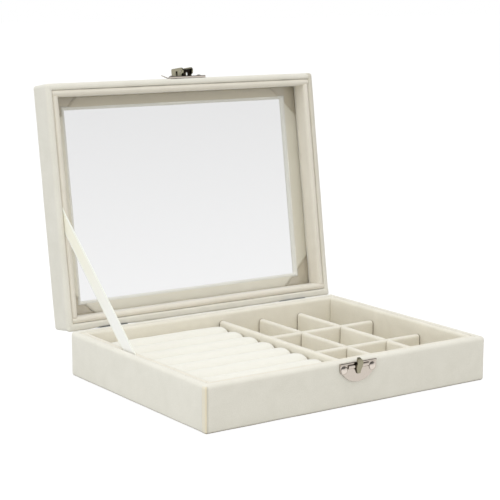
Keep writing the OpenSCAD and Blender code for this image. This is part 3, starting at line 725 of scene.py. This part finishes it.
def close_sheet(shell, front, back):
    """Faces a thin sheet, from the grids of points on its two faces, and closes its edge."""
    last_i, last_j = len(front) - 1, len(front[0]) - 1
    for grid in (front, back):
        for row, following in zip(grid, grid[1:]):
            for j in range(last_j):
                shell.faces.new((row[j], row[j + 1], following[j + 1], following[j]))
    border = [(0, j) for j in range(last_j)] + [(i, last_j) for i in range(last_i)]
    border += [(last_i, j) for j in range(last_j, 0, -1)] + [(i, 0) for i in range(last_i, 0, -1)]
    for (i, j), (next_i, next_j) in zip(border, border[1:] + border[:1]):
        shell.faces.new((front[i][j], front[next_i][next_j], back[next_i][next_j], back[i][j]))
    bmesh.ops.recalc_face_normals(shell, faces=shell.faces)


def flap(length, reach, seed):
    """One flap along X with its fold at y = 0, tapering away from the window, face down."""
    across, along = 8, 60
    soft = 0.35 * mm
    least_gap = 0.02 * mm
    shell = bmesh.new()
    grids = []
    for z in (0.0, cloth_t):
        grid = []
        for i in range(across + 1):
            y = reach * i / across
            half = length / 2 - y
            row = []
            for j in range(along + 1):
                at_edge = i in (0, across) or j in (0, along)
                droop = soft if z == 0 and at_edge else 0.0
                row.append(shell.verts.new((-half + 2 * half * j / along, y, z + droop)))
            grid.append(row)
        grids.append(grid)
    close_sheet(shell, *grids)
    soften(shell, 0.1 * mm, 12 * mm, seed)
    for vert in shell.verts:
        vert.co.z = max(vert.co.z, least_gap)
    return shell


# Flap velvet: the same cloth, painted paler as painted light, for light the glass and the liners keep
# from it, with a stronger, warmer bloom. The front flap gets painted shade, darker and yellower
flap_velvet = velvet("ivory_velvet_flap", "#FFFAE8", "#F8F2DC", 2 * velvet_sheen, bloom="#FFF3DE")
window_w = wrap_high.x * 2 - 2 * frame_side
window_d = (wrap_high.y - wrap_low.y) - 2 * frame_ends
fold_back = lip_round * 0.6
flap_sides = [(window_w, window_d / 2, flap_high.y, 0), (window_d, window_w / 2, flap_high.x, 90)]
flaps = bmesh.new()
for length, at, reach_to, quarter in flap_sides:
    for half_turn in (0, 180):
        part = flap(length - 2 * fold_back, reach_to - at - fold_back, 30 + quarter / 10 + half_turn / 60)
        painted_shade = part.verts.layers.float.new("painted_shade")
        yellow_and_shade = part.verts.layers.float.new("yellow_and_shade")
        # The front flap, which the front wall and its liner shade, gets painted shade
        at_front = quarter == 0 and half_turn == 180
        for vert in part.verts:
            vert[painted_shade] = 0.25 if at_front else 0.0
            vert[yellow_and_shade] = 0.6 if at_front else 0.0
        part.transform(Matrix.Rotation(math.radians(half_turn - quarter), 4, "Z")
                       @ Matrix.Translation((0, at + fold_back, flap_low.z)))
        mesh = bpy.data.meshes.new("flap")
        part.to_mesh(mesh)
        flaps.from_mesh(mesh)
        bpy.data.meshes.remove(mesh)
        part.free()
flaps.transform(stand_open)
piece("window_flap_velvet", flaps, flap_velvet, "velvet", "lid", "window_flaps")


# ---- Glass --------------------------------------------------------------------------------
# A pane of 2 mm float glass closes the window from inside. It lies on the flaps, and the lid's
# liner strips hold it.

# Float glass: clear and smooth, a little grey in the mass, and greyer towards its top edge. It
# lets the lamps' light through
pane_low, pane_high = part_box("glass_pane")
glass, tree = new_material("float_glass")
where = add(tree, "ShaderNodeTexCoord").outputs["Object"]
height = add(tree, "ShaderNodeSeparateXYZ", {0: where}).outputs["Z"]
towards_top = add(tree, "ShaderNodeMapRange", {"Value": height, "From Min": pane_low.z, "From Max": pane_high.z})
tint = add(tree, "ShaderNodeMix",
           {SHARE: towards_top.outputs[0], FIRST: linear("#EBEBEC"), SECOND: linear("#E1E1E2")}, data_type="RGBA")
pane = add(tree, "ShaderNodeBsdfPrincipled",
           {"Base Color": tint.outputs[MIXED], "Roughness": 0.02, "IOR": 1.5, "Transmission Weight": 1.0})
let_by = add(tree, "ShaderNodeBsdfTransparent", {"Color": linear("#FAFAFA")})
path = add(tree, "ShaderNodeLightPath")
lamp_light = add(tree, "ShaderNodeMath",
                 {0: path.outputs["Is Shadow Ray"], 1: path.outputs["Is Diffuse Ray"]}, operation="MAXIMUM")
surface = add(tree, "ShaderNodeMixShader",
              {0: lamp_light.outputs[0], 1: pane.outputs[0], 2: let_by.outputs[0]})
add(tree, "ShaderNodeOutputMaterial", {"Surface": surface.outputs[0]})
dress("glass_pane", glass)


# ---- Lid liner ----------------------------------------------------------------------------
# Four velvet strips like the base's stand inside the lid's walls, with a narrow groove between,
# and hold the glass against the panel.

# Lid lining velvet: the lid's cloth, a little yellower as painted shade, as the base's lining is
lid_lining_velvet = velvet("ivory_velvet_lid_lining", "#ECE6D8", "#DED7C8", velvet_sheen)
for seed, side in enumerate(sides):
    name = "lid_liner_" + side
    low, high = pressed_out(*shut_box(name), (lid_low + lid_high) / 2)
    lay_bar(name, low, high, "lid", lid_lining_velvet, min((high - low).xy) / 2, liner_end, seed + 40,
            roll=180.0, place=stand_open)


# ---- Ribbon stay --------------------------------------------------------------------------
# A 10 mm satin ribbon with woven edges keeps the lid from falling back. Its ends are glued into
# the left grooves of base and lid.

points = [vert.co for vert in cad["ribbon_stay"].data.vertices]
low_end = (min(points, key=lambda point: point.z) + min(points, key=lambda point: point.y)) / 2
high_end = (max(points, key=lambda point: point.z) + max(points, key=lambda point: point.y)) / 2
groove_x = sum(corner.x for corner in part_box("ribbon_stay")) / 2
low_end.x = high_end.x = groove_x
ribbon_l = (high_end - low_end).length
ribbon_w = 10 * mm
ribbon_t = 0.3 * mm
weave_thinness = 0.7
along = (high_end - low_end).normalized()
across = Vector((0, -along.z, along.y))
steps, ribs = 110, 12
shell = bmesh.new()
grids = []
for side in (-1, 1):
    grid = []
    for i in range(steps + 1):
        middle = low_end + along * ribbon_l * i / steps
        row = []
        for j in range(ribs + 1):
            aside = across * (2 * j / ribs - 1) * ribbon_w / 2
            thick = ribbon_t / 2 * (1.0 if j in (0, 1, ribs - 1, ribs) else weave_thinness)
            row.append(shell.verts.new(middle + aside + Vector((side * thick, 0, 0))))
        grid.append(row)
    grids.append(grid)
close_sheet(shell, *grids)
weave_map = shell.loops.layers.uv.new("weave")
for face in shell.faces:
    for loop in face.loops:
        offset = loop.vert.co - low_end
        loop[weave_map].uv = (offset.dot(across) / ribbon_w + 0.5, offset.dot(along) / ribbon_w)

# Polyester satin: fine warp lines along the ribbon, with a soft gloss across them, paler woven
# edges, and yellower towards the lid
satin, tree = new_material("polyester_satin_ribbon")
weave = add(tree, "ShaderNodeUVMap", uv_map="weave").outputs["UV"]
thread = 0.35 * mm          # about three times the real spacing, so that the lines show
warp = add(tree, "ShaderNodeTexWave",
           {"Vector": weave, "Scale": ribbon_w / thread / math.tau, "Distortion": 0.4}, bands_direction="X")
split = add(tree, "ShaderNodeSeparateXYZ", {0: weave})
from_middle = add(tree, "ShaderNodeMath", {0: split.outputs["X"], 1: 0.5}, operation="SUBTRACT")
distance = add(tree, "ShaderNodeMath", {0: from_middle.outputs[0]}, operation="ABSOLUTE")
edge = add(tree, "ShaderNodeMapRange", {"Value": distance.outputs[0], "From Min": 0.36, "From Max": 0.4})
yellowing = add(tree, "ShaderNodeMapRange",
                {"Value": split.outputs["Y"], "From Min": 0.3 * ribbon_l / ribbon_w,
                 "From Max": 0.7 * ribbon_l / ribbon_w})
aged = add(tree, "ShaderNodeMix",
           {SHARE: yellowing.outputs[0], FIRST: linear("#FCFBF5"), SECOND: linear("#FBF8E6")},
           data_type="RGBA")
tint = add(tree, "ShaderNodeMix",
           {SHARE: edge.outputs[0], FIRST: aged.outputs[MIXED], SECOND: linear("#FFFFF4")},
           data_type="RGBA")
ridges = add(tree, "ShaderNodeBump",
             {"Strength": 0.25, "Distance": 0.05 * mm, "Height": warp.outputs["Fac"]})
silk = add(tree, "ShaderNodeBsdfPrincipled",
           {"Base Color": tint.outputs[MIXED], "Roughness": 0.42, "Anisotropic": 0.5, "Sheen Weight": 0.1,
            "Normal": ridges.outputs["Normal"]})
add(tree, "ShaderNodeOutputMaterial", {"Surface": silk.outputs[0]})

mesh = bpy.data.meshes.new("ribbon")
shell.to_mesh(mesh)
shell.free()
mesh.materials.append(satin)
mesh.shade_smooth()
ribbon = bpy.data.objects.new("satin_ribbon_stay", mesh)
bpy.context.scene.collection.objects.link(ribbon)
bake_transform(ribbon)
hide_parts("ribbon_stay")


# ---- Hinges -------------------------------------------------------------------------------
# Two small steel butt hinges are nailed to the back walls of base and lid, with their leaves flat
# on the velvet and their barrels outside. Each leaf has domed nails.

def plated(name, colour, roughness, shade_colour, reach=2.5 * mm, unshaded_at=0.8):
    """Plated sheet metal: bright, with fine scratches, and with painted shade in corners: darkest where
    little within reach of the surface is open, and none where a given share of it is open."""
    made, tree = new_material(name)
    scratch_size = 0.4 * mm     # coarser than real hairlines, so that they show
    where = add(tree, "ShaderNodeTexCoord").outputs["Object"]
    stretched = add(tree, "ShaderNodeMapping", {"Vector": where, "Scale": (1.0, 0.15, 0.15)})
    scratches = add(tree, "ShaderNodeTexNoise",
                    {"Vector": stretched.outputs[0], "Scale": 1 / scratch_size, "Detail": 4.0})
    rough = add(tree, "ShaderNodeMapRange",
                {"Value": scratches.outputs["Fac"], "To Min": roughness * 0.7, "To Max": roughness * 1.5})
    # Painted shade: ambient occlusion darkens the metal towards the shade colour in corners
    hollows = add(tree, "ShaderNodeAmbientOcclusion", {"Distance": reach}, samples=8)
    shade_mix = add(tree, "ShaderNodeMapRange",
                {"Value": hollows.outputs["AO"], "From Min": 0.2, "From Max": unshaded_at})
    tone = add(tree, "ShaderNodeMix",
               {SHARE: shade_mix.outputs[0], FIRST: linear(shade_colour), SECOND: linear(colour)}, data_type="RGBA")
    metal = add(tree, "ShaderNodeBsdfPrincipled",
                {"Base Color": tone.outputs[MIXED], "Metallic": 1.0, "Roughness": rough.outputs[0]})
    add(tree, "ShaderNodeOutputMaterial", {"Surface": metal.outputs[0]})
    return made


# Zinc-plated steel: rolled sheet and drawn wire, bluish grey, a broad, soft shine, painted shade in corners
steel = plated("zinc_plated_steel", "#B6BAC0", 0.35, "#686B70", unshaded_at=0.65)
for name in cad:
    if name.startswith("hinge_"):
        dress(name, steel)


# ---- Latch and catch ----------------------------------------------------------------------
# Both plates are pressed from nickel-plated sheet and nailed to the front walls. The tongue turns
# on a pin in the lid plate's barrel, and folds down over the base plate's bent hook.

# Nickel plate: polished, a little warm, and mirrors what is round it, with painted shade in corners
nickel = plated("nickel_plated_steel", "#C8BEB4", 0.14, "#4A4236")
# Dark nickel: olive and darker as a painted dark reflection, with near-black painted shade in every corner
dark_nickel = plated("nickel_plate_painted_dark", "#9A9580", 0.18, "#14100D", reach=4.0 * mm, unshaded_at=1.0)
# Nail nickel: the brightest, on small domes, with a line of painted shade where they meet the plate
nail_nickel = plated("nickel_plated_nail", "#DAD0C6", 0.12, "#3A332A", unshaded_at=0.95)
# Near-black metal: painted shade for the deep shade under the tongue, with a faint shine
shade_black_metal = plated("shade_black_metal", "#2A2420", 0.25, "#080605")
for name in cad:
    if name in ("latch_tongue", "catch_hook"):
        dress(name, dark_nickel)
    elif name in ("latch_nails", "catch_nails"):
        dress(name, nail_nickel)
    elif name.startswith(("latch_", "catch_")):
        dress(name, nickel)

# The barrel and its two tabs under the tongue stand up from the lid's plate, in near-black painted shade
tongue_low, tongue_high = shut_box("latch_tongue")
plate_t = 0.8 * mm
above_plate = 0.4 * mm
cad["latch_plate"].data.materials.append(shade_black_metal)
for face in cad["latch_plate"].data.polygons:
    centre = stand_open.inverted() @ face.center
    if tongue_low.x < centre.x < tongue_high.x and centre.y < wrap_low.y - plate_t - above_plate:
        face.material_index = 1

# Pressing and tumbling leave the edges a little round
for name, edge_round in (("catch_plate", 0.35 * mm), ("latch_plate", 0.15 * mm), ("catch_hook", 0.15 * mm)):
    joined = cad[name].modifiers.new("joined", "WELD")
    joined.merge_threshold = 0.001 * mm
    pressed = cad[name].modifiers.new("pressed_edges", "BEVEL")
    pressed.width = edge_round
    pressed.segments = 3
    pressed.limit_method = "ANGLE"
    pressed.angle_limit = math.radians(35)


# ---- Table and surroundings ---------------------------------------------------------------
# The box stands on a white sweep of matt paper, under an even white sky. Metal mirrors the sweep
# and, above it, a darker ceiling.

def background_seen(tree):
    """Is 1 for camera rays and for what metal mirrors and glass lets through, and 0 for the light."""
    path = add(tree, "ShaderNodeLightPath")
    through = add(tree, "ShaderNodeMath",
                  {0: path.outputs["Is Glossy Ray"], 1: path.outputs["Is Transmission Ray"]},
                  operation="MAXIMUM")
    seen = add(tree, "ShaderNodeMath", {0: path.outputs["Is Camera Ray"], 1: through.outputs[0]},
               operation="MAXIMUM")
    return seen.outputs[0]


# White sweep: matt paper. As background it glows up to white, and it keeps the box's shadow
white, tree = new_material("white_sweep")
matt = add(tree, "ShaderNodeBsdfDiffuse", {"Color": linear("#8A8A88")})
glow = add(tree, "ShaderNodeEmission", {"Color": linear("#FFFFFF"), "Strength": 0.82})
lit = add(tree, "ShaderNodeAddShader", {0: matt.outputs[0], 1: glow.outputs[0]})
plain = add(tree, "ShaderNodeBsdfDiffuse", {"Color": linear("#D8D8D6")})
shown = add(tree, "ShaderNodeMixShader", {0: background_seen(tree), 1: plain.outputs[0], 2: lit.outputs[0]})
add(tree, "ShaderNodeOutputMaterial", {"Surface": shown.outputs[0]})

floor_size = 12.0
paper_sheet = bmesh.new()
bmesh.ops.create_grid(paper_sheet, x_segments=1, y_segments=1, size=floor_size / 2)
mesh = bpy.data.meshes.new("white_table")
paper_sheet.to_mesh(mesh)
paper_sheet.free()
mesh.materials.append(white)
table = bpy.data.objects.new("white_table", mesh)
bpy.context.scene.collection.objects.link(table)

# The sky lights the box at one level, and shows white. In metal it darkens with height
sky_light, sky_white, ceiling = 0.81, 1.0, 0.16
world = bpy.data.worlds.new("studio")
world.use_nodes = True
bpy.context.scene.world = world
tree = world.node_tree
tree.nodes.clear()
towards = add(tree, "ShaderNodeTexCoord").outputs["Generated"]
height = add(tree, "ShaderNodeSeparateXYZ", {0: towards}).outputs["Z"]
sweep = add(tree, "ShaderNodeMapRange",
            {"Value": height, "From Min": 0.25, "From Max": 0.6, "To Min": sky_white, "To Max": ceiling})
mirrored = add(tree, "ShaderNodeLightPath").outputs["Is Glossy Ray"]
backdrop = add(tree, "ShaderNodeMix", {0: mirrored, 2: sky_white, 3: sweep.outputs[0]}, data_type="FLOAT")
strength = add(tree, "ShaderNodeMix", {0: background_seen(tree), 2: sky_light, 3: backdrop.outputs[0]},
               data_type="FLOAT")
sky = add(tree, "ShaderNodeBackground", {"Color": linear("#FFFFFF"), "Strength": strength.outputs[0]})
add(tree, "ShaderNodeOutputWorld", {"Surface": sky.outputs[0]})


# ---- Lamps and camera ---------------------------------------------------------------------
# A broad lamp overhead shapes the rolls and dividers, and a small, cooler one on the left lights
# the left walls. The camera looks down a little on the box's left front corner.

def softbox(name, place, size, power, colour):
    """A square area lamp pointed at the box."""
    aim = Vector((0, 0, 0.05))
    lamp = bpy.data.lights.new(name, "AREA")
    lamp.size = size
    lamp.energy = power
    lamp.color = colour
    made = bpy.data.objects.new(name, lamp)
    made.location = place
    made.rotation_euler = (aim - Vector(place)).to_track_quat("-Z", "Y").to_euler()
    bpy.context.scene.collection.objects.link(made)


softbox("overhead", (-0.3, -0.2, 1.6), size=1.1, power=7.9, colour=(0.96, 0.98, 1.0))
softbox("side", (-1.2, -0.35, 0.35), size=0.7, power=1.7, colour=(0.82, 0.91, 1.0))

view_at = Vector((-525.221, -729.891, 240.331)) * mm
looks = Vector((0.565479, 0.802374, -0.190867))
roll = math.radians(0.23)
level = looks.cross(Vector((0, 0, 1))).normalized()
upward = level.cross(looks)
right = level * math.cos(roll) + upward * math.sin(roll)
above = upward * math.cos(roll) - level * math.sin(roll)
camera = bpy.data.objects.new("camera", bpy.data.cameras.new("camera"))
camera.matrix_world = Matrix((
    (right.x, above.x, -looks.x, view_at.x),
    (right.y, above.y, -looks.y, view_at.y),
    (right.z, above.z, -looks.z, view_at.z),
    (0, 0, 0, 1)))
camera.data.sensor_width = 36.0
camera.data.lens = 110.39
camera.data.shift_x = -0.0254
camera.data.shift_y = 0.0422
camera.data.clip_end = 30.0
bpy.context.scene.collection.objects.link(camera)
bpy.context.scene.camera = camera
bpy.context.scene.view_settings.view_transform = "Standard"
